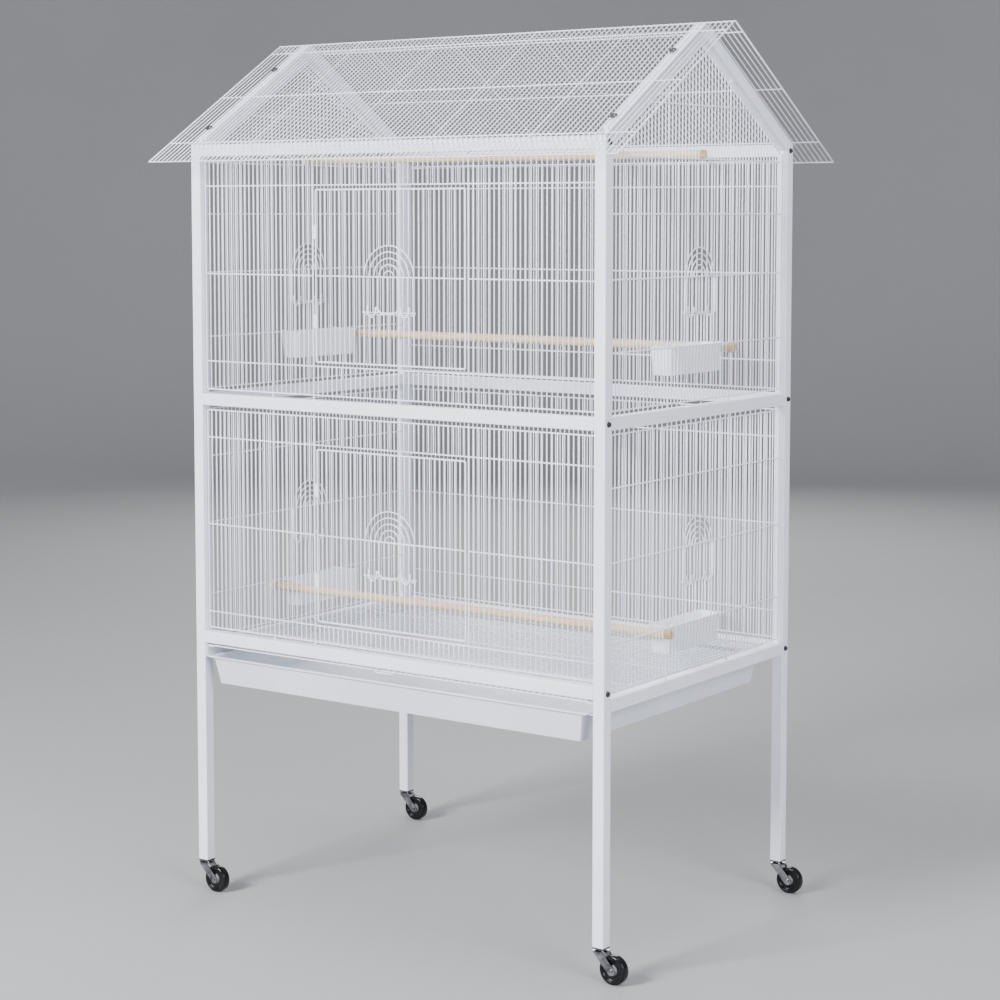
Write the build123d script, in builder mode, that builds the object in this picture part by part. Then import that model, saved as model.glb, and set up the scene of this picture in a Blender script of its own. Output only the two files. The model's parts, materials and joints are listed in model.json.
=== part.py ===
from build123d import *
import os
from math import atan, cos, degrees, radians, tan

# A gabled bird cage on a castor stand. Millimetres, +Z up, the front faces -Y.
# The origin is on the floor, under the middle of the cage.

# ---- driving dimensions -------------------------------------------------
cage_width = 910.0           # outside the legs, along X
cage_depth = 640.0           # outside the legs, along Y
tube = 22.0                  # side of the square frame tube
tube_wall = 1.2
tube_corner = 1.6
leg_foot = 60.0              # underside of the legs above the floor
side_rail_z = 455.0          # undersides of the rails
front_rail_z = side_rail_z + tube
mid_rail_z = 924.0
top_rail_z = 1383.0
roof_pitch = 32.1            # degrees
eave_overhang = 53.0
verge_overhang = 55.0

thin = 2.2                   # wire gauges
edge = 2.6
thick = 3.2
sheet = 2.2                  # depth of a welded wire panel
roof_sheet = 3.0
grate_sheet = 2.4

front_edge = 430.0           # front and back panels, half width to their edge wires
front_spaces = 80            # spaces between their upright wires
doorway_spaces = 16          # from the middle to the thick wire beside a doorway
pin_spaces = 25              # from the middle to the outer pins
side_edge = 294.0            # the same for the side panels
side_spaces = 53
side_pin_spaces = 9.5
door_half = 165.0            # front doors
door_spaces = 30
door_gap = 8.0               # door to doorway, top and bottom
arch_count = 5               # arcs over each feeding gate
door_arch_spaces = 5         # from the middle to the outer arc
side_arch_spaces = 4.5
gate_drop = 66.0             # height of the opening behind a gate
gate_height = 62.0
gate_gap = 0.4               # gate to the wires behind it

# ---- places worked out from them -----------------------------------------
half_w = cage_width / 2
half_d = cage_depth / 2
leg_x = half_w - tube / 2
leg_y = half_d - tube / 2
inner_x = half_w - tube
inner_y = half_d - tube
mid_rail_top = mid_rail_z + tube
top_rail_top = top_rail_z + tube
slope = tan(radians(roof_pitch))
ridge_z = top_rail_top + half_d * slope
rafter_drop = tube / cos(radians(roof_pitch))
front_step = 2 * front_edge / front_spaces
side_step = 2 * side_edge / side_spaces
door_step = 2 * door_half / door_spaces
doorway_half = doorway_spaces * front_step
pin_x = pin_spaces * front_step
side_pin_y = side_pin_spaces * side_step
door_arch = door_arch_spaces * door_step
side_arch = side_arch_spaces * side_step

# heights of the horizontal wires of the front and back walls
lower = dict(bottom=506.0, sill=536.0, middle=701.0, head=864.0, top=915.0)
upper = dict(bottom=954.0, sill=1006.0, middle=1168.0, head=1329.0, top=1375.0)
tiers = {"lower": lower, "upper": upper}

# and of the side walls: bottom, behind the feeder, the gate's top, above the arches, top
side_levels = {
    "lower": (485.0, 565.0, 701.0, 826.0, 915.0),
    "upper": (954.0, 1050.0, 1170.0, 1278.0, 1373.0, 1465.0),
}

os.makedirs("parts", exist_ok=True)


def save(piece, name):
    piece.part.label = name
    export_step(piece.part, f"parts/{name}.step")


def spaced(first, last, spaces):
    """Positions of evenly spaced wires, both ends included."""
    step = (last - first) / spaces
    return [first + step * i for i in range(spaces + 1)]


# ---- frame: legs, rails and rafters --------------------------------------
bolt_radius = 3.0
bolt_hole = bolt_radius + 0.1
end_plate = 8.0
roof_half = half_w + verge_overhang
roof_bays = 5
roof_spaces = 19 * roof_bays
roof_step = 2 * roof_half / roof_spaces
roof_screw_x = {"left": -42 * roof_step, "right": 41 * roof_step}
roof_screw_y = (86.0, 272.0)
screw_radius = 2.0
rail_levels = {
    "front": {"bottom": front_rail_z, "mid": mid_rail_z, "top": top_rail_z},
    "back": {"bottom": side_rail_z, "mid": mid_rail_z, "top": top_rail_z},
}


def tube_section():
    RectangleRounded(tube, tube, tube_corner)
    Rectangle(tube - 2 * tube_wall, tube - 2 * tube_wall, mode=Mode.SUBTRACT)


def roof_seat(end_sign, x, y):
    """A plane on the roof's slope, its x along the eave and its y up the slope."""
    return Plane(
        origin=(x, y, ridge_z - abs(y) * slope),
        x_dir=(-end_sign, 0, 0),
        z_dir=(0, end_sign * slope, 1),
    )


for end, end_sign in (("front", -1), ("back", 1)):
    bolt_levels = [z + tube / 2 for z in rail_levels[end].values()]
    roof_plane = Plane(
        origin=(0, end_sign * half_d, top_rail_top), z_dir=(0, end_sign * slope, 1)
    )
    for side, side_sign in (("left", -1), ("right", 1)):
        x, y = side_sign * leg_x, end_sign * leg_y
        # the leg's top is cut along the roof's slope
        with BuildPart() as leg:
            with BuildSketch(Plane(origin=(x, y, leg_foot))):
                tube_section()
            extrude(amount=top_rail_top + tube - leg_foot)
            split(bisect_by=roof_plane, keep=Keep.BOTTOM)
            with Locations(*[(x, y, z) for z in bolt_levels]):
                Cylinder(bolt_hole, 2 * tube, rotation=(0, 90, 0), mode=Mode.SUBTRACT)
        save(leg, f"{end}_{side}_leg")

        # a rafter from the leg up to the mitre under the ridge
        with BuildPart() as rafter:
            with BuildSketch(Plane.YZ.offset(x - tube / 2)):
                Polygon(
                    (end_sign * inner_y, ridge_z - inner_y * slope),
                    (0, ridge_z),
                    (0, ridge_z - rafter_drop),
                    (end_sign * inner_y, ridge_z - rafter_drop - inner_y * slope),
                    align=None,
                )
            extrude(amount=tube)
            cover = rafter_drop * tube_wall / tube
            with BuildSketch(Plane.YZ.offset(x - tube / 2 + tube_wall)):
                Polygon(
                    (end_sign * half_d, ridge_z - cover - half_d * slope),
                    (-end_sign * tube, ridge_z - cover + tube * slope),
                    (-end_sign * tube, ridge_z + cover - rafter_drop + tube * slope),
                    (end_sign * half_d, ridge_z + cover - rafter_drop - half_d * slope),
                    align=None,
                )
            extrude(amount=tube - 2 * tube_wall, mode=Mode.SUBTRACT)
            for screw_y in roof_screw_y:
                seat = roof_seat(end_sign, roof_screw_x[side], end_sign * screw_y)
                with BuildSketch(seat):
                    Circle(screw_radius + 0.1)
                extrude(amount=-6.0, mode=Mode.SUBTRACT)
        save(rafter, f"{end}_{side}_rafter")

    # front and back rails lie along X, with a plate in each end for the bolts
    for level, z in rail_levels[end].items():
        with BuildPart() as rail:
            with BuildSketch(Plane.YZ.offset(-inner_x)):
                with Locations((end_sign * leg_y, z + tube / 2)):
                    tube_section()
            extrude(amount=2 * inner_x)
            for plate_x in (-inner_x, inner_x - end_plate):
                with BuildSketch(Plane.YZ.offset(plate_x)):
                    with Locations((end_sign * leg_y, z + tube / 2)):
                        Rectangle(tube - 2 * tube_wall, tube - 2 * tube_wall)
                        Circle(bolt_hole, mode=Mode.SUBTRACT)
                extrude(amount=end_plate)
        save(rail, f"{end}_{level}_rail")

# side rails lie along Y, welded between the legs
for side, side_sign in (("left", -1), ("right", 1)):
    for level, z in (("bottom", side_rail_z), ("mid", mid_rail_z)):
        with BuildPart() as rail:
            with BuildSketch(Plane.XZ.offset(-inner_y)):
                with Locations((side_sign * leg_x, z + tube / 2)):
                    tube_section()
            extrude(amount=2 * inner_y)
        save(rail, f"{side}_{level}_rail")

# ---- fasteners -----------------------------------------------------------
head_radius = 5.2
head_height = 3.0
bolt_length = tube + end_plate - 1.0
with BuildPart() as frame_bolts:
    for end, end_sign in (("front", -1), ("back", 1)):
        for side_sign in (-1, 1):
            outer = Plane(
                origin=(side_sign * half_w, end_sign * leg_y, 0), z_dir=(side_sign, 0, 0)
            )
            for z in rail_levels[end].values():
                seat = outer.shift_origin((side_sign * half_w, end_sign * leg_y, z + tube / 2))
                with BuildSketch(seat):
                    Circle(head_radius)
                extrude(amount=head_height, taper=25)
                with BuildSketch(seat):
                    Circle(bolt_radius)
                extrude(amount=-bolt_length)
save(frame_bolts, "frame_bolts")

with BuildPart() as roof_screws:
    for end_sign in (-1, 1):
        for screw_x in roof_screw_x.values():
            for screw_y in roof_screw_y:
                seat = roof_seat(end_sign, screw_x, end_sign * screw_y)
                with BuildSketch(seat.offset(roof_sheet)):
                    Circle(6.5)
                extrude(amount=1.2)
                with BuildSketch(seat.offset(roof_sheet + 1.2)):
                    Circle(4.0)
                extrude(amount=2.2, taper=20)
                with BuildSketch(seat.offset(roof_sheet)):
                    Circle(screw_radius)
                extrude(amount=-roof_sheet - 12.0)
save(roof_screws, "roof_screws")

# ---- wire panels ---------------------------------------------------------


def uprights(places, bottom, top, gauge=thin):
    with Locations(*[(place, (bottom + top) / 2) for place in places]):
        Rectangle(gauge, top - bottom)


def crossbars(heights, first, last, gauge=edge):
    with Locations(*[((first + last) / 2, height) for height in heights]):
        Rectangle(last - first, gauge)


def gate_opening(middle, radius, guide_bottom):
    """Arcs standing on the middle wire, and under it the opening that a gate covers."""
    with Locations((0, middle)):
        Circle(radius, mode=Mode.SUBTRACT)
    with Locations((0, middle - gate_drop / 2)):
        Rectangle(2 * radius, gate_drop, mode=Mode.SUBTRACT)
    for ring in range(arch_count):
        ring_radius = radius * (1 - ring / arch_count)
        with BuildSketch(Plane.XY, mode=Mode.PRIVATE) as arc:
            Circle(ring_radius + thin / 2)
            Circle(ring_radius - thin / 2, mode=Mode.SUBTRACT)
            with Locations((0, -radius)):
                Rectangle(3 * radius, 2 * radius, mode=Mode.SUBTRACT)
        with Locations((0, middle)):
            add(arc.sketch)
    crossbars([middle - gate_drop, middle], -radius, radius)
    uprights([-radius, radius], guide_bottom, middle, thick)


front_places = spaced(-front_edge, front_edge, front_spaces)
door_places = spaced(-door_half, door_half, door_spaces)
side_places = spaced(-side_edge, side_edge, side_spaces)
front_plane = Plane.XZ.offset(leg_y - sheet / 2)
back_plane = Plane.XZ.offset(-leg_y - sheet / 2)
pins = (-pin_x, pin_x)
doorway_sides = (-doorway_half, doorway_half)

for tier, level in tiers.items():
    rail_above = mid_rail_z if tier == "lower" else top_rail_z
    rail_below = front_rail_z + tube if tier == "lower" else mid_rail_top

    # front wall, in four fields round the doorway
    beside = [x for x in front_places if abs(x) > doorway_half - 1]
    between = [x for x in front_places if abs(x) < doorway_half - 1]
    with BuildPart() as panel:
        with BuildSketch(front_plane):
            uprights(beside, level["bottom"], level["top"])
            uprights([-front_edge, front_edge], level["bottom"], level["top"], edge)
            uprights(between, level["bottom"], level["sill"])
            uprights(between, level["head"], level["top"])
            crossbars([level["bottom"], level["top"]], -front_edge, front_edge)
            crossbars([level["sill"], level["head"]], -front_edge, front_edge)
            crossbars([level["middle"]], -front_edge, -doorway_half)
            crossbars([level["middle"]], doorway_half, front_edge)
            uprights(doorway_sides, rail_below, rail_above, thick)
            uprights(pins, rail_below, level["bottom"], edge)
            uprights(pins, level["top"], rail_above, edge)
        extrude(amount=sheet)
        for side_sign in (-1, 1):
            field = Plane.YZ.offset(side_sign * (doorway_half - thick / 2))
            split(bisect_by=field, keep=Keep.BOTH)
    save(panel, f"front_{tier}_panel")

    # back wall, on the same heights without a doorway
    rail_below = side_rail_z + tube if tier == "lower" else mid_rail_top
    bottom = rail_below + 8.0
    with BuildPart() as panel:
        with BuildSketch(back_plane):
            uprights(front_places, bottom, level["top"])
            uprights([-front_edge, front_edge], bottom, level["top"], edge)
            crossbars([bottom, level["sill"], level["middle"]], -front_edge, front_edge)
            crossbars([level["head"], level["top"]], -front_edge, front_edge)
            uprights(doorway_sides, rail_below, rail_above, thick)
            uprights(pins, rail_below, bottom, edge)
            uprights(pins, level["top"], rail_above, edge)
        extrude(amount=sheet)
    save(panel, f"back_{tier}_panel")

    # front door, with its arcs over the opening for the gate
    door_bottom, door_top = level["sill"] + door_gap, level["head"] - door_gap
    beside = [x for x in door_places if abs(x) > door_arch - 1]
    between = [x for x in door_places if abs(x) < door_arch - 1]
    with BuildPart() as door:
        with BuildSketch(front_plane):
            uprights(beside, door_bottom, door_top)
            uprights(between, level["middle"], door_top)
            uprights(between, door_bottom, level["middle"] - gate_drop)
            crossbars([level["middle"]], -door_half, door_half)
            crossbars([door_bottom, door_top], -door_half, door_half, thick)
            gate_opening(level["middle"], door_arch, door_bottom)
            uprights([-door_half, door_half], door_bottom, door_top, thick)
        extrude(amount=sheet)
        for side_sign in (-1, 1):
            field = Plane.YZ.offset(side_sign * (door_arch - thick / 2))
            split(bisect_by=field, keep=Keep.BOTH)
    save(door, f"{tier}_door")

# side walls: the upper ones are gable ended, their edges following the rafters
rafter_gap = 9.0
gable_apex = ridge_z - rafter_drop - rafter_gap
for side, side_sign in (("left", -1), ("right", 1)):
    for tier, heights in side_levels.items():
        bottom, feeder_bar, middle = heights[:3]
        side_plane = Plane(
            origin=(side_sign * (leg_x - sheet / 2), 0, 0),
            x_dir=(0, side_sign, 0),
            z_dir=(side_sign, 0, 0),
        )
        gable = tier == "upper"
        rail_below = mid_rail_top if gable else side_rail_z + tube
        pin_top = ridge_z - rafter_drop - (side_pin_y + thick / 2) * slope
        rail_above = pin_top if gable else mid_rail_z
        with BuildPart() as panel:
            with BuildSketch(side_plane):
                for y in side_places:
                    top = gable_apex - abs(y) * slope if gable else heights[-1]
                    gauge = edge if abs(y) > side_edge - 1 else thin
                    if abs(y) < side_arch - 1:
                        uprights([y], bottom, middle - gate_drop)
                        uprights([y], middle, top)
                    else:
                        uprights([y], bottom, top, gauge)
                for height in heights:
                    reach = side_edge
                    if gable:
                        reach = min(side_edge, (gable_apex - height) / slope)
                    crossbars([height], -reach, reach)
                if gable:
                    for end_sign in (-1, 1):
                        foot_z = gable_apex - side_edge * slope
                        Polygon(
                            (end_sign * side_edge, foot_z + thick / 2),
                            (end_sign * side_edge, foot_z - thick / 2),
                            (0, gable_apex - thick / 2),
                            (0, gable_apex + thick / 2),
                            align=None,
                        )
                uprights([-side_pin_y, side_pin_y], rail_below, rail_above, thick)
                gate_opening(middle, side_arch, feeder_bar)
            extrude(amount=sheet)
            for end_sign in (-1, 1):
                field = Plane.XZ.offset(end_sign * (side_arch - thick / 2))
                split(bisect_by=field, keep=Keep.BOTH)
        save(panel, f"{side}_{tier}_panel")

# ---- feeding gates -------------------------------------------------------
guide_loop = 1.5             # wall of the loops round the guides
loop_height = 4.0
handle_half = 20.0
handle_drop = 9.0


def gate(face, radius, step, middle, name):
    """A wire gate hung in front of an opening, looped round both guides.

    The face plane lies on the outside of the panel, its y axis upwards.
    """
    foot = middle - gate_height
    count = round(2 * radius / step)
    with BuildPart() as piece:
        with BuildSketch(face.offset(gate_gap)):
            uprights(spaced(-radius, radius, count), foot, middle)
            crossbars([foot, middle], -radius - guide_loop, radius + guide_loop)
            uprights([-handle_half, handle_half], foot - handle_drop, foot)
            crossbars([foot - handle_drop], -handle_half - thin / 2, handle_half + thin / 2)
        extrude(amount=sheet)
        # loops: two cheeks and a back, running on the guide
        cheek = thick / 2 + 0.1 + guide_loop / 2
        depth = gate_gap + sheet + 0.2 + guide_loop
        for guide in (-radius, radius):
            with BuildSketch(face.offset(gate_gap)):
                with Locations((guide - cheek, foot), (guide + cheek, foot)):
                    Rectangle(guide_loop, loop_height)
            extrude(amount=-depth)
            with BuildSketch(face.offset(-sheet - 0.2)):
                with Locations((guide, foot)):
                    Rectangle(2 * cheek, loop_height)
            extrude(amount=-guide_loop)
            with BuildSketch(face.offset(gate_gap)):
                with Locations((guide, foot)):
                    Rectangle(2 * cheek + guide_loop, loop_height)
            extrude(amount=sheet)
    save(piece, name)


for tier, level in tiers.items():
    face = Plane.XZ.offset(leg_y + sheet / 2)
    gate(face, door_arch, door_step, level["middle"], f"{tier}_door_gate")
for side, side_sign in (("left", -1), ("right", 1)):
    for tier, heights in side_levels.items():
        face = Plane(
            origin=(side_sign * (leg_x + sheet / 2), 0, 0),
            x_dir=(0, side_sign, 0),
            z_dir=(side_sign, 0, 0),
        )
        gate(face, side_arch, side_step, heights[2], f"{side}_{tier}_gate")

# ---- door hinge clips ----------------------------------------------------
clip_height = 24.0
clip_bore = 2.2
clip_radius = 3.3
clip_levels = (618.0, 782.0, 1087.0, 1246.0)
with BuildPart() as door_hinge_clips:
    for z in clip_levels:
        with BuildSketch(Plane.XY.offset(z - clip_height / 2)):
            with Locations((-door_half, -leg_y)):
                Circle(clip_radius)
            tab = doorway_half - thick / 2 - door_half
            with Locations((-door_half - tab / 2, -leg_y)):
                Rectangle(tab, 2.0)
            with Locations((-door_half, -leg_y)):
                Circle(clip_bore, mode=Mode.SUBTRACT)
        extrude(amount=clip_height)
save(door_hinge_clips, "door_hinge_clips")

# ---- feeders -------------------------------------------------------------
feeder_length = 180.0
feeder_width = 47.0
feeder_height = 50.0
feeder_wall = 2.0
feeder_taper = 4.0
rim_lip = 3.0
hook_y = 7 * side_step       # midway between two upright wires
hook_width = 6.0
wall_inner_x = leg_x - sheet / 2
wall_outer_x = leg_x + sheet / 2
for side, side_sign in (("left", -1), ("right", 1)):
    for tier, heights in side_levels.items():
        bar_top = heights[1] + edge / 2
        rim_top = bar_top - 0.6
        middle_x = side_sign * (wall_inner_x - 0.3 - feeder_width / 2)
        with BuildPart() as feeder:
            with BuildSketch(Plane((middle_x, 0, rim_top))):
                Rectangle(feeder_width - rim_lip, feeder_length)
            extrude(amount=-feeder_height, taper=feeder_taper)
            with BuildSketch(Plane((middle_x, 0, rim_top))):
                Rectangle(feeder_width, feeder_length + 2 * rim_lip)
            extrude(amount=-feeder_wall)
            with BuildSketch(Plane((middle_x, 0, rim_top))):
                Rectangle(
                    feeder_width - rim_lip - 2 * feeder_wall, feeder_length - 2 * feeder_wall
                )
            extrude(amount=feeder_wall - feeder_height, taper=feeder_taper, mode=Mode.SUBTRACT)
            # two hooks over the horizontal wire of the side wall
            hook_start = wall_inner_x - 0.3 - 4.0
            hook_end = wall_outer_x + 0.3 + 2.0
            for y in (-hook_y, hook_y):
                with BuildSketch(Plane((side_sign * (hook_start + hook_end) / 2, y, bar_top + 0.1))):
                    Rectangle(hook_end - hook_start, hook_width)
                extrude(amount=2.0)
                with BuildSketch(Plane((side_sign * (hook_end - 1.0), y, bar_top + 2.1))):
                    Rectangle(2.0, hook_width)
                extrude(amount=-9.0)
                with BuildSketch(Plane((side_sign * (hook_start + 2.0), y, rim_top - 0.1))):
                    Rectangle(4.0, hook_width)
                extrude(amount=bar_top + 0.2 - rim_top)
        save(feeder, f"{side}_{tier}_feeder")

# ---- perches -------------------------------------------------------------
perch_radius = 8.0
top_perch_radius = 7.0
slot_start = wall_inner_x - 0.3
for tier, y in (("lower", -side_pin_y), ("upper", side_pin_y)):
    z = side_levels[tier][1] - edge / 2 - 0.2 - perch_radius
    with BuildPart() as perch:
        with BuildSketch(Plane.YZ.offset(-half_w)):
            with Locations((y, z)):
                Circle(perch_radius)
        extrude(amount=cage_width)
        # each end is slotted to straddle the thick upright wire
        for side_sign in (-1, 1):
            with BuildSketch(Plane.XZ.offset(-y - thick / 2 - 0.1)):
                with Locations((side_sign * (slot_start + half_w + 1) / 2, z)):
                    Rectangle(half_w + 1 - slot_start, 3 * perch_radius)
            extrude(amount=thick + 0.2, mode=Mode.SUBTRACT)
    save(perch, f"{tier}_perch")

top_perch_z = side_levels["upper"][4] + edge / 2 + 0.1 + top_perch_radius
tongue = side_step - thin - 0.2
with BuildPart() as perch:
    with BuildSketch(Plane.YZ.offset(-half_w)):
        with Locations((0, top_perch_z)):
            Circle(top_perch_radius)
    extrude(amount=cage_width)
    # flats on each end let it pass between the two middle wires
    for side_sign in (-1, 1):
        for end_sign in (-1, 1):
            flat_y = end_sign * (tongue / 2 + top_perch_radius)
            flat_x = side_sign * (slot_start + half_w + 1) / 2
            with Locations((flat_x, flat_y, top_perch_z)):
                Box(
                    half_w + 1 - slot_start,
                    2 * top_perch_radius,
                    3 * top_perch_radius,
                    mode=Mode.SUBTRACT,
                )
save(perch, "top_perch")

# ---- roof ----------------------------------------------------------------
eave_y = half_d + eave_overhang
roof_length = eave_y / cos(radians(roof_pitch)) - 0.5
roof_bars = (edge / 2, 68.0, 237.0, 408.0, roof_length - edge / 2)
roof_places = spaced(-roof_half, roof_half, roof_spaces)
for end, end_sign in (("front", -1), ("back", 1)):
    with BuildPart() as panel:
        with BuildSketch(roof_seat(end_sign, 0, end_sign * eave_y)):
            uprights(roof_places, 0, roof_length)
            uprights(spaced(-roof_half, roof_half, roof_bays), 0, roof_length, thick)
            crossbars(roof_bars, -roof_half, roof_half)
        extrude(amount=roof_sheet)
    save(panel, f"{end}_roof_panel")

# ---- grate, tray and their runners ---------------------------------------
grate_z = 471.3
grate_half = 429.0
grate_front, grate_back = -318.0, 295.0
with BuildPart() as grate:
    with BuildSketch(Plane.XY.offset(grate_z)):
        middle_y = (grate_front + grate_back) / 2
        length = grate_back - grate_front
        with Locations(*[(x, middle_y) for x in spaced(-grate_half, grate_half, 66)]):
            Rectangle(thin, length)
        with Locations(*[(0, y) for y in spaced(grate_front + 1.6, grate_back - 1.6, 4)]):
            Rectangle(2 * grate_half + thin, thick)
        # the pull, a wire bent forwards at the middle of the front edge
        with Locations((-handle_half, grate_front - 6.0), (handle_half, grate_front - 6.0)):
            Rectangle(thick, 16.0)
        with Locations((0, grate_front - 14.0)):
            Rectangle(2 * handle_half + thick, thick)
    extrude(amount=grate_sheet)
save(grate, "grate")

tray_top = 453.5
tray_height = 51.5
tray_sheet = 1.5
tray_half = 411.0
tray_rim = 13.0
tray_front, tray_back = -320.0, 282.0
tray_taper = degrees(atan(9.0 / tray_height))
with BuildPart() as tray:
    middle_y = (tray_front + tray_back) / 2
    length = tray_back - tray_front
    with BuildSketch(Plane((0, middle_y, tray_top))):
        Rectangle(2 * tray_half, length - 2)
    extrude(amount=-tray_height, taper=tray_taper)
    with BuildSketch(Plane((0, middle_y, tray_top))):
        RectangleRounded(2 * (tray_half + tray_rim), length, 4.0)
    extrude(amount=-tray_sheet)
    with BuildSketch(Plane((0, middle_y, tray_top))):
        Rectangle(2 * (tray_half - tray_sheet), length - 2 - 2 * tray_sheet)
    extrude(amount=tray_sheet - tray_height, taper=tray_taper, mode=Mode.SUBTRACT)
save(tray, "tray")

runner_web = 1.5
tray_shelf_top = tray_top - tray_sheet - 0.1
grate_shelf_top = grate_z - 0.1
for side, side_sign in (("left", -1), ("right", 1)):
    with BuildPart() as runner:
        with BuildSketch(Plane.XZ.offset(-inner_y + 1.0)):
            foot_z = tray_shelf_top - runner_web
            web_height = side_rail_z + tube - foot_z
            with Locations((side_sign * (inner_x - runner_web / 2), foot_z + web_height / 2)):
                Rectangle(runner_web, web_height)
            for shelf_top in (tray_shelf_top, grate_shelf_top):
                with Locations((side_sign * (inner_x - 9.0), shelf_top - runner_web / 2)):
                    Rectangle(18.0, runner_web)
        extrude(amount=inner_y + 316.0 - 1.0)
    save(runner, f"{side}_tray_runner")

# ---- castors -------------------------------------------------------------
wheel_radius = 25.0
wheel_width = 16.4
wheel_trail = 26.0
hub_half = 9.0
cheek_half = 9.2             # inside of the fork's cheeks
cheek_sheet = 1.5
axle_radius = 3.0
stem_radius = 4.0
running_gap = 0.05
plug_flange = 3.0
corners = {
    "front_left": (-leg_x, -leg_y),
    "front_right": (leg_x, -leg_y),
    "back_left": (-leg_x, leg_y),
    "back_right": (leg_x, leg_y),
}

with BuildPart() as leg_plugs:
    for x, y in corners.values():
        with BuildSketch(Plane((x, y, leg_foot - plug_flange))):
            RectangleRounded(tube, tube, tube_corner)
        extrude(amount=plug_flange)
        with BuildSketch(Plane((x, y, leg_foot))):
            Rectangle(tube - 2 * tube_wall - 0.2, tube - 2 * tube_wall - 0.2)
        extrude(amount=26.0)
        with BuildSketch(Plane((x, y, leg_foot - plug_flange))):
            Circle(stem_radius + running_gap)
        extrude(amount=plug_flange + 23.0, mode=Mode.SUBTRACT)
save(leg_plugs, "leg_plugs")

for corner, (x, y) in corners.items():
    with BuildPart() as fork:
        with BuildSketch(Plane((x, y, 52.5))):
            Circle(14.0)
        extrude(amount=2.0)
        with BuildSketch(Plane((x, y, 54.5))):
            Circle(8.0)
        extrude(amount=2.3)
        with BuildSketch(Plane((x, y, 54.5))):
            Circle(stem_radius)
        extrude(amount=25.0)
        for end_sign in (-1, 1):
            cheek_y = y + end_sign * (cheek_half + cheek_sheet / 2)
            with BuildSketch(Plane.XZ.offset(-cheek_y - cheek_sheet / 2)):
                with Locations((x + wheel_trail, wheel_radius)):
                    Circle(7.5)
                with Locations((x, 52.5)):
                    Rectangle(18.0, 2.0)
                make_hull()
            extrude(amount=cheek_sheet)
        with BuildSketch(Plane.XZ.offset(-y - cheek_half - cheek_sheet - 1.5)):
            with Locations((x + wheel_trail, wheel_radius)):
                Circle(axle_radius)
        extrude(amount=2 * (cheek_half + cheek_sheet + 1.5))
    save(fork, f"{corner}_fork")

    with BuildPart() as wheel:
        with BuildSketch(Plane.XZ.offset(-y - wheel_width / 2)):
            with Locations((x + wheel_trail, wheel_radius)):
                Circle(wheel_radius)
        extrude(amount=wheel_width)
        rims = wheel.edges().filter_by(GeomType.CIRCLE)
        fillet(rims, 3.0)
        with BuildSketch(Plane.XZ.offset(-y - hub_half)):
            with Locations((x + wheel_trail, wheel_radius)):
                Circle(8.0)
        extrude(amount=2 * hub_half)
        with BuildSketch(Plane.XZ.offset(-y - hub_half)):
            with Locations((x + wheel_trail, wheel_radius)):
                Circle(axle_radius + running_gap)
        extrude(amount=2 * hub_half, mode=Mode.SUBTRACT)
    save(wheel, f"{corner}_wheel")
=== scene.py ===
import json
from math import cos, hypot, pi, radians, sin, tan

import bpy
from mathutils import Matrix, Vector


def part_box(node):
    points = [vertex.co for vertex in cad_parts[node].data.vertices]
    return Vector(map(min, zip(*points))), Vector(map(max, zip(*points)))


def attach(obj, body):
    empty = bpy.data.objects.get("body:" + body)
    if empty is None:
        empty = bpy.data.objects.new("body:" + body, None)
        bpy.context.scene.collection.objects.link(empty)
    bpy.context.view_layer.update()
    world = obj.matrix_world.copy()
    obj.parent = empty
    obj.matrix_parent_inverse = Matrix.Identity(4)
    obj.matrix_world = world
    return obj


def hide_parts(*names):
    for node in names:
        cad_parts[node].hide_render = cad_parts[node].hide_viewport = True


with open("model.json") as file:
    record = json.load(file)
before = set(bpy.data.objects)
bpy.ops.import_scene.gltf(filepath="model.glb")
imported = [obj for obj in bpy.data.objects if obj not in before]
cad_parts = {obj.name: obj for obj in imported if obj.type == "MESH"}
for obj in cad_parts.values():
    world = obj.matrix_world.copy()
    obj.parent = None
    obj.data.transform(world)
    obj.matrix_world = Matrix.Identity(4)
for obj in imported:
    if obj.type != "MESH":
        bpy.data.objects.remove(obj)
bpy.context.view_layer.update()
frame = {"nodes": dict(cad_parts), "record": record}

# ---- the layout, in millimetres, as in the CAD ------------------------------
TUBE = 22.0
LEG_X, LEG_Y, HALF_D = 444.0, 309.0, 320.0
SIDE_RAIL_TOP, FRONT_RAIL_TOP = 477.0, 499.0
MID_RAIL, MID_RAIL_TOP, TOP_RAIL = 924.0, 946.0, 1383.0
PITCH = radians(32.1)
SLOPE = tan(PITCH)
RIDGE = 1405.0 + HALF_D * SLOPE
RAFTER_DROP = TUBE / cos(PITCH)

THIN, EDGE, THICK = 1.1, 1.3, 1.6            # radii of the wires
SILL_WIRE = 0.85                             # and of the thin one under an opening
UP_W, BAR_W, HEM_W = 0.25, -0.65, -0.2       # uprights lie outside the crossbars
HEM_BEND, DOOR_BEND = 4.0, 2.5

FRONT_EDGE, FRONT_SPACES = 430.0, 80
SIDE_EDGE, SIDE_SPACES = 294.0, 53
DOOR_HALF, DOOR_SPACES = 165.0, 30
FRONT_STEP = 2 * FRONT_EDGE / FRONT_SPACES
SIDE_STEP = 2 * SIDE_EDGE / SIDE_SPACES
DOOR_STEP = 2 * DOOR_HALF / DOOR_SPACES
DOORWAY, PIN = 16 * FRONT_STEP, 25 * FRONT_STEP
SIDE_PIN = 9.5 * SIDE_STEP
DOOR_ARCH, SIDE_ARCH = 5 * DOOR_STEP, 4.5 * SIDE_STEP
DOOR_GAP = 8.0
ARCS = 5                                     # in each fan over an opening
GATE_DROP, GATE_HEIGHT = 66.0, 62.0
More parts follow.
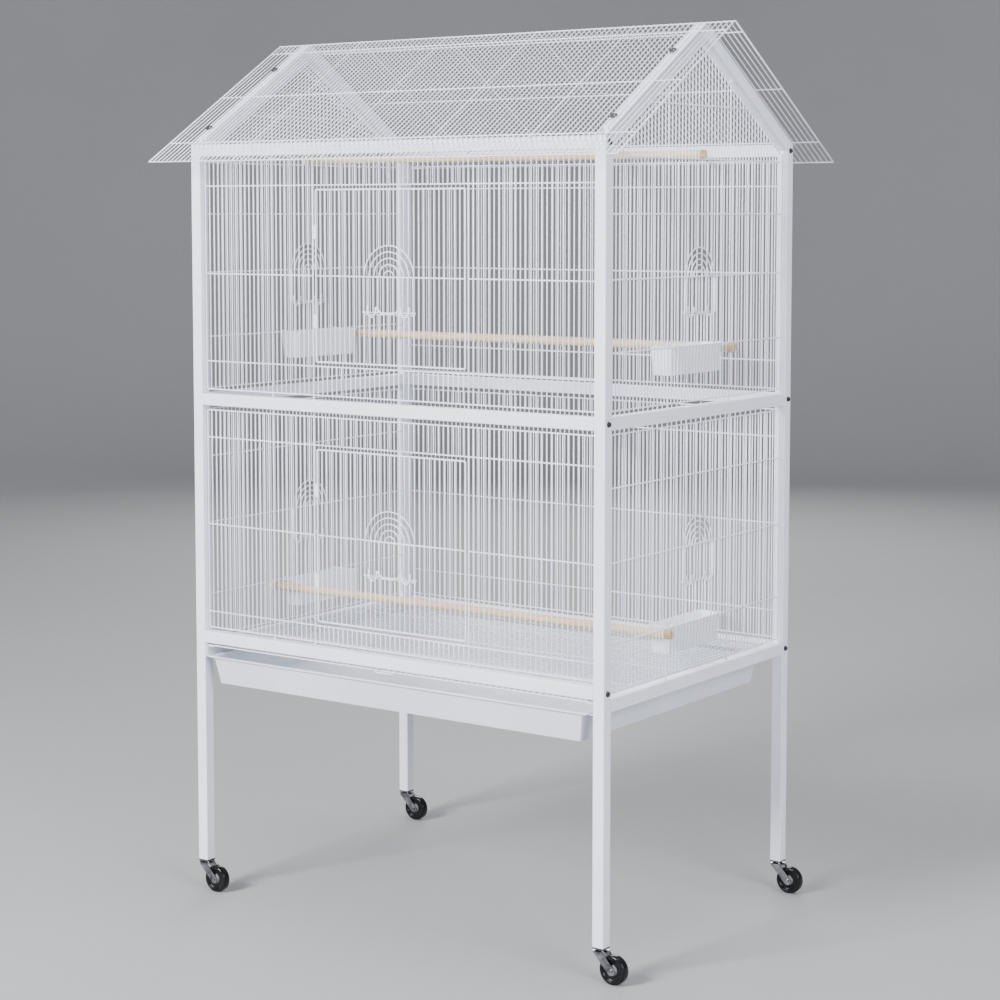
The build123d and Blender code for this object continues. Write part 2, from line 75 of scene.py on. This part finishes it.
# heights of the front's wires: bottom, under, at the middle of and over the door, top
TIERS = {
    "lower": dict(bottom=506.0, sill=536.0, middle=701.0, head=864.0, top=915.0),
    "upper": dict(bottom=954.0, sill=1006.0, middle=1168.0, head=1329.0, top=1375.0),
}
# and of the sides' wires: bottom, behind the feeder, the gate's top, over the fan, top
SIDE_LEVELS = {
    "lower": (485.0, 565.0, 701.0, 826.0, 915.0),
    "upper": (954.0, 1050.0, 1170.0, 1278.0, 1373.0, 1465.0),
}


def spaced(first, last, spaces):
    """Evenly spaced places, both ends included."""
    step = (last - first) / spaces
    return [first + step * i for i in range(spaces + 1)]


# ---- materials -----------------------------------------------------------
def link(mat, a, b):
    mat.node_tree.links.new(a, b)


def node(mat, kind, **values):
    n = mat.node_tree.nodes.new(kind)
    for key, value in values.items():
        if key in n.inputs:
            n.inputs[key].default_value = value
        else:
            setattr(n, key, value)
    return n


def coordinates(mat, scale=(1, 1, 1)):
    coords = node(mat, "ShaderNodeTexCoord")
    mapping = node(mat, "ShaderNodeMapping")
    mapping.inputs["Scale"].default_value = scale
    link(mat, coords.outputs["Object"], mapping.inputs["Vector"])
    return mapping.outputs["Vector"]


def ramp(mat, source, stops):
    r = node(mat, "ShaderNodeValToRGB")
    while len(r.color_ramp.elements) < len(stops):
        r.color_ramp.elements.new(0.5)
    for element, (position, colour) in zip(r.color_ramp.elements, stops):
        element.position = position
        element.color = (*colour, 1)
    link(mat, source, r.inputs["Fac"])
    return r.outputs["Color"]


def noise(mat, vector, scale, detail=4.0, rough=0.55):
    n = node(mat, "ShaderNodeTexNoise", Scale=scale, Detail=detail, Roughness=rough)
    link(mat, vector, n.inputs["Vector"])
    return n.outputs["Fac"]


def material(name, stops, scale, roughness, bump=0.0, bump_scale=900.0, **sockets):
    """A principled surface whose colour, roughness and bump all come from noise."""
    mat = bpy.data.materials.new(name)
    mat.use_nodes = True
    surface = mat.node_tree.nodes["Principled BSDF"]
    vector = coordinates(mat)
    link(mat, ramp(mat, noise(mat, vector, scale), stops), surface.inputs["Base Color"])
    low, high = roughness
    level = ramp(mat, noise(mat, vector, scale * 3.1), two((low,) * 3, (high,) * 3))
    link(mat, level, surface.inputs["Roughness"])
    if bump:
        b = node(mat, "ShaderNodeBump", Strength=bump, Distance=0.0002)
        link(mat, noise(mat, vector, bump_scale, 3.0), b.inputs["Height"])
        link(mat, b.outputs["Normal"], surface.inputs["Normal"])
    for key, value in sockets.items():
        surface.inputs[key.replace("_", " ")].default_value = value
    return mat


def two(a, b):
    """The stops of a soft mix of two values."""
    return [(0.3, a), (0.7, b)]


coat = two((0.78, 0.81, 0.90), (0.85, 0.87, 0.95))
LOOKS = {
    "frame_tube": material("frame_tube", coat, 9.0, (0.30, 0.42), 0.12, 1400.0, Coat_Weight=0.25),
    "cage_wire": material("cage_wire", coat, 14.0, (0.30, 0.40), 0.06, 1800.0, Coat_Weight=0.2),
    "clip_white": material("clip_white", coat, 40.0, (0.30, 0.42), 0.08, 1800.0),
    "grate_wire": material(
        "grate_wire", two((0.74, 0.77, 0.80), (0.83, 0.85, 0.87)), 11.0, (0.32, 0.46), 0.08
    ),
    "tray_sheet": material(
        "tray_sheet", two((0.62, 0.65, 0.73), (0.69, 0.71, 0.78)), 6.0, (0.32, 0.45), 0.16, 1100.0
    ),
    "runner_sheet": material(
        "runner_sheet", two((0.74, 0.77, 0.81), (0.82, 0.85, 0.88)), 12.0, (0.35, 0.5), 0.12
    ),
    "feeder_plastic": material(
        "feeder_plastic", two((0.86, 0.91, 0.98), (0.90, 0.94, 0.99)), 8.0, (0.34, 0.46), 0.10,
        700.0, Subsurface_Weight=0.3, Subsurface_Scale=0.01
    ),
    "bolt_black": material(
        "bolt_black", two((0.012, 0.012, 0.013), (0.03, 0.03, 0.032)), 160.0, (0.3, 0.5), 0.2
    ),
    "screw_steel": material(
        "screw_steel", two((0.10, 0.10, 0.11), (0.20, 0.20, 0.21)), 150.0, (0.25, 0.4), 0.1,
        Metallic=1.0
    ),
    "plug_black": material(
        "plug_black", two((0.02, 0.02, 0.022), (0.045, 0.045, 0.048)), 120.0, (0.4, 0.6), 0.3
    ),
    "fork_chrome": material(
        "fork_chrome", two((0.10, 0.10, 0.11), (0.42, 0.43, 0.45)), 70.0, (0.06, 0.16), 0.25, 90.0,
        Metallic=1.0
    ),
    "wheel_black": material(
        "wheel_black", two((0.004, 0.004, 0.005), (0.010, 0.010, 0.011)), 90.0, (0.12, 0.22), 0.05,
        Specular_IOR_Level=0.22
    ),
    "wheel_hub": material(
        "wheel_hub", two((0.11, 0.11, 0.12), (0.17, 0.17, 0.18)), 90.0, (0.3, 0.45), 0.08
    ),
}


def wood():
    """Plain dowel: streaks along the grain, faint pores and a satin face."""
    mat = bpy.data.materials.new("perch_wood")
    mat.use_nodes = True
    surface = mat.node_tree.nodes["Principled BSDF"]
    vector = coordinates(mat, (3.0, 60.0, 60.0))
    grain = noise(mat, vector, 4.0, 6.0, 0.6)
    tone = ramp(
        mat,
        grain,
        [(0.25, (0.52, 0.34, 0.18)), (0.5, (0.68, 0.49, 0.29)), (0.75, (0.77, 0.59, 0.38))],
    )
    link(mat, tone, surface.inputs["Base Color"])
    level = ramp(mat, noise(mat, vector, 9.0), two((0.42,) * 3, (0.60,) * 3))
    link(mat, level, surface.inputs["Roughness"])
    b = node(mat, "ShaderNodeBump", Strength=0.25, Distance=0.0003)
    link(mat, grain, b.inputs["Height"])
    link(mat, b.outputs["Normal"], surface.inputs["Normal"])
    return mat


LOOKS["perch_wood"] = wood()
slots = {s["node"]: s["material_slot"] for s in frame["record"]["subparts"]}
for name, thing in frame["nodes"].items():
    thing.data.materials.clear()
    thing.data.materials.append(LOOKS[slots[name]])


def mesh_piece(name, verts, faces):
    """A smooth mesh in the scene, from points in metres."""
    mesh = bpy.data.meshes.new(name)
    mesh.from_pydata([tuple(v) for v in verts], [], faces)
    mesh.update()
    mesh.shade_smooth()
    piece = bpy.data.objects.new(name, mesh)
    bpy.context.collection.objects.link(piece)
    return piece


# ---- swept wires ---------------------------------------------------------
def rounded(points, radius, closed=False, steps=5):
    """The corners of a polyline, each turned into a small bend."""
    points = [Vector(p) for p in points]
    out, count = [], len(points)
    for i, p in enumerate(points):
        if not closed and i in (0, count - 1):
            out.append(p)
            continue
        before, after = points[i - 1] - p, points[(i + 1) % count] - p
        reach = min(radius, before.length / 2.01, after.length / 2.01)
        a, b = p + before.normalized() * reach, p + after.normalized() * reach
        for k in range(steps + 1):
            t = k / steps
            out.append((1 - t) ** 2 * a + 2 * t * (1 - t) * p + t * t * b)
    return out


class Wires:
    """Collects round wires, then makes them one mesh in place of a CAD node."""

    def __init__(self, place):
        self.place = place                    # (u, v, w) in mm to a point in metres
        self.verts, self.faces = [], []

    def wire(self, points, radius, closed=False, sides=10):
        """A round wire along the points, with its ends chamfered or joined up."""
        points = [Vector(self.place(*p)) for p in points]
        count = len(points)
        radius /= 1000
        tangents = []
        for i in range(count):
            a = points[i - 1] if i or closed else points[0]
            b = points[(i + 1) % count] if i < count - 1 or closed else points[-1]
            tangents.append((b - a).normalized())
        side = tangents[0].orthogonal().normalized()
        base = len(self.verts)
        for i, p in enumerate(points):
            t = tangents[i]
            side = (side - t * side.dot(t)).normalized()
            other = t.cross(side)
            rings = [(0.0, 1.0)]
            if not closed and i == 0:             # a chamfered end
                rings = [(0.0, 0.72), (0.28, 1.0)]
            if not closed and i == count - 1:
                rings = [(-0.28, 1.0), (0.0, 0.72)]
            for shift, size in rings:
                for k in range(sides):
                    angle = 2 * pi * k / sides
                    offset = side * cos(angle) + other * sin(angle)
                    self.verts.append(p + t * shift * radius + offset * size * radius)
        total = (len(self.verts) - base) // sides
        for ring in range(total if closed else total - 1):
            for k in range(sides):
                a = base + ring * sides + k
                b = base + ring * sides + (k + 1) % sides
                c = base + ((ring + 1) % total) * sides
                self.faces.append((a, b, c + (k + 1) % sides, c + k))
        if not closed:
            self.faces.append(tuple(base + k for k in reversed(range(sides))))
            self.faces.append(tuple(base + (total - 1) * sides + k for k in range(sides)))

    def upright(self, u, bottom, top, radius=THIN, w=UP_W):
        self.wire([(u, bottom, w), (u, top, w)], radius)

    def bar(self, v, first, last, radius=EDGE, w=BAR_W):
        self.wire([(first, v, w), (last, v, w)], radius)

    def knob(self, u, v, w, radius, height):
        """A small domed cap on the end of a pin."""
        steps = [(0.0, 1.0), (0.55, 1.0), (0.85, 0.75), (1.0, 0.4)]
        base, sides = len(self.verts), 14
        for along, size in steps:
            for k in range(sides):
                a = 2 * pi * k / sides
                du, dw = radius * size * cos(a), radius * size * sin(a)
                self.verts.append(Vector(self.place(u + du, v + height * along, w + dw)))
        for ring in range(len(steps) - 1):
            for k in range(sides):
                a, b = base + ring * sides + k, base + ring * sides + (k + 1) % sides
                self.faces.append((a, b, b + sides, a + sides))
        self.faces.append(tuple(base + k for k in reversed(range(sides))))
        self.faces.append(tuple(base + (len(steps) - 1) * sides + k for k in range(sides)))

    def hem(self, corners, bend, radius, w=HEM_W):
        """A closed wire round the corners, each turned into a bend."""
        self.wire(rounded([(u, v, w) for u, v in corners], bend, True), radius, True)

    def make(self, node_name, body, look, stands_for=True):
        """Ends the piece. It stands for the CAD node, or is one that the CAD leaves out."""
        piece = mesh_piece(node_name + "_wires", self.verts, self.faces)
        piece.data.materials.append(LOOKS[look])
        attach(piece, body)
        if stands_for:
            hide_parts(node_name)


# each place takes u across the wall, v up it and w outwards
def front(u, v, w):
    return (u / 1000, (-LEG_Y - w) / 1000, v / 1000)


def back(u, v, w):
    return (u / 1000, (LEG_Y + w) / 1000, v / 1000)


def right(u, v, w):
    return ((LEG_X + w) / 1000, u / 1000, v / 1000)


def left(u, v, w):
    return ((-LEG_X - w) / 1000, -u / 1000, v / 1000)


def opening(panel, middle, radius, guide_bottom):
    """Arcs on the middle wire, and the guides and sill round a feeding opening."""
    for ring in range(ARCS):
        r = radius * (1 - ring / ARCS)
        arc = [
            (r * cos(pi * k / 24), middle + r * sin(pi * k / 24), UP_W) for k in range(25)
        ]
        panel.wire(arc, THIN)
    panel.bar(middle - GATE_DROP, -radius, radius, SILL_WIRE)
    for u in (-radius, radius):
        panel.upright(u, guide_bottom, middle, THICK, 0.0)


def over(u, middle, radius):
    """Where an upright over the arcs starts."""
    return middle + (radius * radius - u * u) ** 0.5


def rectangle(half, bottom, top):
    return [(-half, bottom), (half, bottom), (half, top), (-half, top)]


def wall_pins(panel, places, below, above, radius):
    """Heavy uprights whose ends stand on the rails."""
    for u in places:
        panel.upright(u, below, above, radius, 0.0)


front_places = spaced(-FRONT_EDGE, FRONT_EDGE, FRONT_SPACES)
door_places = spaced(-DOOR_HALF, DOOR_HALF, DOOR_SPACES)
side_places = spaced(-SIDE_EDGE, SIDE_EDGE, SIDE_SPACES)

for tier, level in TIERS.items():
    above = MID_RAIL if tier == "lower" else TOP_RAIL
    below = FRONT_RAIL_TOP if tier == "lower" else MID_RAIL_TOP
    panel = Wires(front)
    for u in front_places[1:-1]:
        if abs(abs(u) - DOORWAY) < 1 or abs(abs(u) - PIN) < 1:
            continue
        if abs(u) > DOORWAY:
            panel.upright(u, level["bottom"], level["top"])
        else:
            panel.upright(u, level["bottom"], level["sill"])
            panel.upright(u, level["head"], level["top"])
    panel.hem(rectangle(FRONT_EDGE, level["bottom"], level["top"]), HEM_BEND, EDGE)
    panel.bar(level["sill"], -FRONT_EDGE, FRONT_EDGE)
    panel.bar(level["head"], -FRONT_EDGE, FRONT_EDGE)
    panel.bar(level["middle"], -FRONT_EDGE, -DOORWAY)
    panel.bar(level["middle"], DOORWAY, FRONT_EDGE)
    wall_pins(panel, (-DOORWAY, DOORWAY), below, above, THICK)
    wall_pins(panel, (-PIN, PIN), below, above, EDGE)
    panel.make(f"front_{tier}_panel", "cage", "cage_wire")

    below = SIDE_RAIL_TOP if tier == "lower" else MID_RAIL_TOP
    bottom = below + 8.0
    panel = Wires(back)
    for u in front_places[1:-1]:
        if abs(abs(u) - DOORWAY) > 1 and abs(abs(u) - PIN) > 1:
            panel.upright(u, bottom, level["top"])
    panel.hem(rectangle(FRONT_EDGE, bottom, level["top"]), HEM_BEND, EDGE)
    for key in ("sill", "middle", "head"):
        panel.bar(level[key], -FRONT_EDGE, FRONT_EDGE)
    wall_pins(panel, (-DOORWAY, DOORWAY), below, above, THICK)
    wall_pins(panel, (-PIN, PIN), below, above, EDGE)
    panel.make(f"back_{tier}_panel", "cage", "cage_wire")

    middle, foot, top = level["middle"], level["sill"] + DOOR_GAP, level["head"] - DOOR_GAP
    door = Wires(front)
    for u in door_places[1:-1]:
        if abs(u) > DOOR_ARCH + 1:
            door.upright(u, foot, top)
        elif abs(u) < DOOR_ARCH - 1:
            door.upright(u, over(u, middle, DOOR_ARCH), top)
            door.upright(u, foot, middle - GATE_DROP)
        else:
            door.upright(u, middle, top)
    door.hem(rectangle(DOOR_HALF, foot, top), DOOR_BEND, THICK, 0)
    door.bar(middle, -DOOR_HALF, DOOR_HALF)
    opening(door, middle, DOOR_ARCH, foot)
    door.make(f"{tier}_door", f"{tier}_door", "cage_wire")

APEX = RIDGE - RAFTER_DROP - 9.0
FEEDER_BAR_W = -0.1                          # clear of the feeders' rims
for side, place in (("left", left), ("right", right)):
    for tier, heights in SIDE_LEVELS.items():
        bottom, feeder_bar, middle = heights[:3]
        gable = tier == "upper"
        panel = Wires(place)
        for u in side_places[1:-1]:
            top = APEX - abs(u) * SLOPE if gable else heights[-1]
            if abs(abs(u) - SIDE_PIN) < 1:
                continue
            if abs(u) < SIDE_ARCH - 1:
                panel.upright(u, bottom, middle - GATE_DROP)
                panel.upright(u, over(u, middle, SIDE_ARCH), top)
            else:
                panel.upright(u, bottom, top)
        shoulder = APEX - SIDE_EDGE * SLOPE if gable else heights[-1]
        corners = rectangle(SIDE_EDGE, bottom, shoulder)
        if gable:
            corners.insert(3, (0, APEX))
        panel.hem(corners, HEM_BEND, EDGE)
        for height in heights[1:] if gable else heights[1:-1]:
            reach = min(SIDE_EDGE, (APEX - height) / SLOPE) if gable else SIDE_EDGE
            depth = FEEDER_BAR_W if height == feeder_bar else BAR_W
            panel.bar(height, -reach, reach, EDGE, depth)
        below = MID_RAIL_TOP if gable else SIDE_RAIL_TOP
        above = RIDGE - RAFTER_DROP - (SIDE_PIN + THICK) * SLOPE if gable else MID_RAIL
        wall_pins(panel, (-SIDE_PIN, SIDE_PIN), below, above, THICK)
        if gable:
            for u in (-SIDE_PIN, SIDE_PIN):
                panel.knob(u, above - 5.2, 0.0, 3.6, 4.4)
        opening(panel, middle, SIDE_ARCH, feeder_bar)
        panel.make(f"{side}_{tier}_panel", "cage", "cage_wire")


GATE_W = 2.6                                 # how far out the gates' wires lie
GATE_WIRE, GATE_FOOT_WIRE, PULL_WIRE = 1.05, 0.75, 1.45
RING_RADIUS, RING_WIRE, RING_SIDES = 2.75, 0.9, 16
# half a pull: a U turned up at the end, then a shallow bow to the middle
# (across as a share of the opening's half width, up from the gate's foot)
HALF_PULL = [
    (-0.84, 11.5), (-0.82, -3.0), (-0.67, -10.0), (-0.52, -3.0), (-0.50, 11.0), (-0.36, 1.5),
    (-0.22, -2.5),
]


def feeding_gate(place, radius, step, middle, name):
    """Vertical wires between two bars, rings round the guides and a bent pull."""
    foot = middle - GATE_HEIGHT
    piece = Wires(place)
    for u in spaced(-radius, radius, round(2 * radius / step)):
        piece.upright(u, foot, middle, GATE_WIRE, GATE_W)
    reach = radius + 2.6
    for v, bar_radius in ((foot, GATE_FOOT_WIRE), (middle, GATE_WIRE)):
        piece.bar(v, -reach, reach, bar_radius, GATE_W)
    pull = HALF_PULL + [(-a, b) for a, b in reversed(HALF_PULL)]
    pull = [(a * radius, foot + b, GATE_W + 0.1) for a, b in pull]
    piece.wire(rounded(pull, 5.0), PULL_WIRE)
    for u in (-radius, radius):
        for v in (foot - 1.0, foot + 1.0):
            ring = []
            for k in range(RING_SIDES):
                a = 2 * pi * k / RING_SIDES
                ring.append((u + RING_RADIUS * cos(a), v, 0.15 + RING_RADIUS * sin(a)))
            piece.wire(ring, RING_WIRE, True, 8)
    piece.make(name, name, "cage_wire")


for tier, level in TIERS.items():
    feeding_gate(front, DOOR_ARCH, DOOR_STEP, level["middle"], f"{tier}_door_gate")
for side, place in (("left", left), ("right", right)):
    for tier, heights in SIDE_LEVELS.items():
        feeding_gate(place, SIDE_ARCH, SIDE_STEP, heights[2], f"{side}_{tier}_gate")

# ---- feeders -------------------------------------------------------------
FEEDER_X, FEEDER_Y, FEEDER_HEIGHT, TAPER = 22.0, 90.0, 50.0, tan(radians(4.0))
HOOK_HALF = 3.0


def round_loop(half_x, half_y, radius, z):
    """A level rounded rectangle, anticlockwise from above."""
    points = []
    for turn, (sx, sy) in enumerate(((1, 1), (-1, 1), (-1, -1), (1, -1))):
        for k in range(7):                   # points on each corner
            a = pi / 2 * (turn + k / 6)
            x = sx * (half_x - radius) + radius * cos(a)
            y = sy * (half_y - radius) + radius * sin(a)
            points.append((x, y, z))
    return points


def cup(name, sign, rim, wire_top):
    """A moulded cup with a rolled rim, and two straps hooked over the wall's wire."""
    centre = sign * (LEG_X - 1.4 - FEEDER_X - 1.5)
    outer, inner = FEEDER_HEIGHT * TAPER, (FEEDER_HEIGHT - 2.0) * TAPER
    # half width, half length, corner radius and height over the rim, from the
    # bottom's underside up the outside, over the rim and down the inside
    loops = [
        (FEEDER_X - outer - 1.6, FEEDER_Y - outer - 1.6, 5.5, -FEEDER_HEIGHT),
        (FEEDER_X - outer - 0.4, FEEDER_Y - outer - 0.4, 6.5, -FEEDER_HEIGHT + 0.5),
        (FEEDER_X - outer + 0.1, FEEDER_Y - outer + 0.1, 7.0, -FEEDER_HEIGHT + 1.7),
        (FEEDER_X - 0.2, FEEDER_Y - 0.2, 8.0, -2.4),
        (FEEDER_X + 1.1, FEEDER_Y + 2.6, 9.0, -2.0),
        (FEEDER_X + 1.5, FEEDER_Y + 3.0, 9.0, -1.5),
        (FEEDER_X + 1.5, FEEDER_Y + 3.0, 9.0, -0.5),
        (FEEDER_X + 1.1, FEEDER_Y + 2.6, 9.0, 0.0),
        (FEEDER_X - 1.6, FEEDER_Y - 1.6, 6.5, 0.0),
        (FEEDER_X - 2.0, FEEDER_Y - 2.0, 6.0, -0.5),
        (FEEDER_X - inner - 2.0, FEEDER_Y - inner - 2.0, 5.0, 3.0 - FEEDER_HEIGHT),
        (FEEDER_X - inner - 3.0, FEEDER_Y - inner - 3.0, 4.0, 2.0 - FEEDER_HEIGHT),
    ]
    verts, faces = [], []
    for half_x, half_y, radius, z in loops:
        verts += [(centre + x, y, rim + h) for x, y, h in round_loop(half_x, half_y, radius, z)]
    around = len(verts) // len(loops)
    for ring in range(len(loops) - 1):
        for k in range(around):
            a, b = ring * around + k, ring * around + (k + 1) % around
            faces.append((a, b, b + around, a + around))
    faces.append(tuple(reversed(range(around))))
    faces.append(tuple(len(verts) - around + k for k in range(around)))
    # the straps' outline across the wall, outwards and upwards
    start, end, top = LEG_X - 5.4, LEG_X + 3.4, wire_top + 2.1
    outline = [
        (start, rim - 0.1), (start + 4, rim - 0.1), (start + 4, wire_top + 0.1),
        (end - 2, wire_top + 0.1), (end - 2, top - 9), (end, top - 9), (end, top - 1),
        (end - 1, top), (start + 1, top), (start, top - 1),
    ]
    for hook in (-7 * SIDE_STEP, 7 * SIDE_STEP):     # midway between two uprights
        base, count = len(verts), len(outline)
        for y in (hook - HOOK_HALF, hook + HOOK_HALF):
            verts += [(sign * x, y, z) for x, z in outline]
        strap = [tuple(range(base, base + count))]
        strap.append(tuple(base + count + k for k in reversed(range(count))))
        for k in range(count):
            a, b = base + k, base + (k + 1) % count
            strap.append((b, a, a + count, b + count))
        faces += strap if sign > 0 else [tuple(reversed(face)) for face in strap]
    piece = mesh_piece(name + "_cup", [tuple(c / 1000 for c in v) for v in verts], faces)
    piece.data.set_sharp_from_angle(angle=radians(50))
    piece.data.materials.append(LOOKS["feeder_plastic"])
    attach(piece, "cage")
    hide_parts(name)


for side, sign in (("left", -1), ("right", 1)):
    for tier, heights in SIDE_LEVELS.items():
        wire_top = heights[1] + EDGE
        cup(f"{side}_{tier}_feeder", sign, wire_top - 0.6, wire_top)

# ---- roof ----------------------------------------------------------------
ROOF_HALF, EAVE_Y = 510.0, HALF_D + 53.0
ROOF_LENGTH = EAVE_Y / cos(PITCH) - 0.5
ROOF_BAYS, ROOF_SPACES = 5, 95
ROOF_THIN, ROOF_HEAVY, ROOF_BAR = 0.95, 1.5, 1.1


def roof_place(end):
    """u along the eave, v up the slope and w out of it."""
    def place(u, v, w):
        y = -EAVE_Y + v * cos(PITCH) - w * sin(PITCH)
        z = RIDGE - EAVE_Y * SLOPE + v * sin(PITCH) + w * cos(PITCH)
        return (u / 1000, -end * y / 1000, z / 1000)
    return place


for end, sign in (("front", -1), ("back", 1)):
    panel = Wires(roof_place(sign))
    heavy = spaced(-ROOF_HALF, ROOF_HALF, ROOF_BAYS)
    for u in spaced(-ROOF_HALF, ROOF_HALF, ROOF_SPACES):
        if min(abs(u - h) for h in heavy) > 1:
            panel.upright(u, 0.6, ROOF_LENGTH - 0.4, ROOF_THIN, 1.95)
    for u in heavy:
        panel.upright(u, 0, ROOF_LENGTH, ROOF_HEAVY, ROOF_HEAVY)
    for v in (1.3, 68.0, 237.0, 408.0, ROOF_LENGTH - 1.3):
        panel.bar(v, -ROOF_HALF - 1.4, ROOF_HALF + 1.4, ROOF_BAR, ROOF_BAR)
    panel.make(f"{end}_roof_panel", "cage", "cage_wire")

# ---- grate and tray --------------------------------------------------------
GRATE_Z, TRAY_TOP = 472.5, 453.5
GRATE_FRONT, GRATE_BACK, GRATE_HALF = -316.5, 293.5, 428.6
GRATE_THIN, GRATE_BAR, GRATE_EDGE = 1.0, 1.05, 1.2
PULL_HALF = 20
ROLL_RADIUS, ROLL_HALF, ROLL_Y = 2.0, 421.0, -320.2


def level_place(u, v, w):
    """u to the right, v backwards and w up from the grate."""
    return (u / 1000, v / 1000, (GRATE_Z + w) / 1000)


grate = Wires(level_place)
for u in spaced(-429.0, 429.0, 66)[1:-1]:
    grate.wire([(u, GRATE_FRONT, 0.15), (u, GRATE_BACK, 0.15)], GRATE_THIN, False, 8)
grate.hem(rectangle(GRATE_HALF, GRATE_FRONT, GRATE_BACK), 8.0, GRATE_EDGE, 0)
for v in spaced(GRATE_FRONT, GRATE_BACK, 4)[1:-1]:
    grate.wire([(-GRATE_HALF, v, -0.15), (GRATE_HALF, v, -0.15)], GRATE_BAR, False, 8)
pull = [(-PULL_HALF, -310, 0), (-PULL_HALF, -332, 0), (PULL_HALF, -332, 0), (PULL_HALF, -310, 0)]
grate.wire(rounded(pull, 6.0), GRATE_EDGE)
grate.make("grate", "grate", "grate_wire")

# the rolled edge along the tray's front
roll = Wires(level_place)
roll_w = TRAY_TOP - ROLL_RADIUS - GRATE_Z
roll.wire([(-ROLL_HALF, ROLL_Y, roll_w), (ROLL_HALF, ROLL_Y, roll_w)], ROLL_RADIUS, False, 16)
roll.make("tray_front_roll", "tray", "tray_sheet", False)


# ---- castor wheels -------------------------------------------------------
WHEEL_SIDES, HUB_RADIUS = 72, 10.5
# radius and half width, from the bore over the hub and the web to the tread
WHEEL_PROFILE = [
    (3.05, 9.0), (7.4, 9.0), (8.0, 8.6), (8.2, 6.2), (9.2, 5.2), (16.0, 5.0), (17.6, 5.6),
    (18.2, 7.4), (19.0, 8.0), (21.8, 8.2), (23.6, 7.6), (24.6, 6.2), (25.0, 4.2), (25.0, 0.0),
]


def wheel(name):
    """A turned wheel: rounded tread, a step, a dished web and a hub."""
    low, high = (Vector(v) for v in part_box(name))
    centre = (low + high) / 2
    outline = WHEEL_PROFILE + [(r, -h) for r, h in reversed(WHEEL_PROFILE[:-1])]
    verts, faces = [], []
    for r, h in outline:
        for k in range(WHEEL_SIDES):
            a = 2 * pi * k / WHEEL_SIDES
            offset = Vector((r * cos(a), h, r * sin(a))) / 1000
            verts.append(centre + offset)
    rings = len(outline)
    for i in range(rings):
        for k in range(WHEEL_SIDES):
            a, b = i * WHEEL_SIDES + k, i * WHEEL_SIDES + (k + 1) % WHEEL_SIDES
            c = ((i + 1) % rings) * WHEEL_SIDES
            faces.append((a, c + k, c + (k + 1) % WHEEL_SIDES, b))
    piece = mesh_piece(name + "_turned", verts, faces)
    piece.data.materials.append(LOOKS["wheel_black"])
    piece.data.materials.append(LOOKS["wheel_hub"])
    for face in piece.data.polygons:
        middle = (face.center - centre) * 1000
        if hypot(middle.x, middle.z) < HUB_RADIUS:
            face.material_index = 1
    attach(piece, name)
    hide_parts(name)


for corner in ("front_left", "front_right", "back_left", "back_right"):
    wheel(f"{corner}_wheel")

# softened edges on the CAD pieces that are not wires or tubes
SOFT_EDGE = 0.0005                           # metres
for name, thing in frame["nodes"].items():
    if slots[name] in ("tray_sheet", "perch_wood", "fork_chrome", "screw_steel"):
        bevel = thing.modifiers.new("soft edges", "BEVEL")
        bevel.width = SOFT_EDGE
        bevel.segments = 2
        bevel.limit_method = "ANGLE"
        bevel.harden_normals = False

# ---- floor, light and camera ---------------------------------------------
# a round floor whose rim curves up into a backdrop on every side, in metres
FLAT, COVE, WALL_TOP, AROUND = 6.5, 2.5, 7.0, 96
floor_profile = [(0.0, 0.0), (3.5, 0.0), (FLAT, 0.0)]
for degrees in range(6, 91, 6):
    turn = radians(degrees)
    floor_profile.append((FLAT + COVE * sin(turn), COVE - COVE * cos(turn)))
floor_profile.append((FLAT + COVE, WALL_TOP))
floor_verts, floor_faces = [], []
for d, z in floor_profile:
    for k in range(AROUND):
        a = 2 * pi * k / AROUND
        floor_verts.append((d * cos(a), d * sin(a), z))
for i in range(len(floor_profile) - 1):
    for k in range(AROUND):
        a, b = i * AROUND + k, i * AROUND + (k + 1) % AROUND
        floor_faces.append((a, b, b + AROUND, a + AROUND))
floor = mesh_piece("floor", floor_verts, floor_faces)
floor.data.materials.append(
    material("floor", two((0.325, 0.325, 0.333), (0.345, 0.345, 0.353)), 0.6, (0.8, 0.9))
)


def area(name, place, aim, size, power, colour=(1, 1, 1)):
    """A rectangular lamp, in metres and watts, that faces aim."""
    data = bpy.data.lights.new(name, "AREA")
    data.shape = "RECTANGLE"
    data.size, data.size_y = size
    data.energy = power
    data.color = colour
    light = bpy.data.objects.new(name, data)
    light.location = place
    light.rotation_euler = (Vector(aim) - Vector(place)).to_track_quat("-Z", "Y").to_euler()
    bpy.context.collection.objects.link(light)


area("key", (-1.2, -4.8, 3.0), (0, 0, 0.95), (1.8, 1.8), 690, (0.97, 0.98, 1.0))
area("fill", (4.4, -1.8, 2.2), (0, 0, 0.8), (2.2, 2.2), 240, (0.93, 0.96, 1.0))
area("top", (0.2, 0.6, 4.6), (0, 0, 0.9), (2.6, 2.6), 100)
area("rear", (-2.8, 4.8, 2.8), (0, 0, 0.9), (2.4, 2.4), 120, (0.97, 0.98, 1.0))

world = bpy.data.worlds.new("studio")
bpy.context.scene.world = world
world.use_nodes = True
sky = world.node_tree.nodes["Background"]
sky.inputs["Color"].default_value = (0.90, 0.93, 1.0, 1)
sky.inputs["Strength"].default_value = 0.45

lens = bpy.data.cameras.new("camera")
lens.lens = 80.24
lens.sensor_width = 36.0
lens.shift_y = -0.10
camera = bpy.data.objects.new("camera", lens)
camera.location = (2.407, -3.368, 1.278)
camera.rotation_euler = (pi / 2 - 0.08328, 0, 0.61689)
bpy.context.collection.objects.link(camera)
bpy.context.scene.camera = camera

bpy.context.view_layer.update()
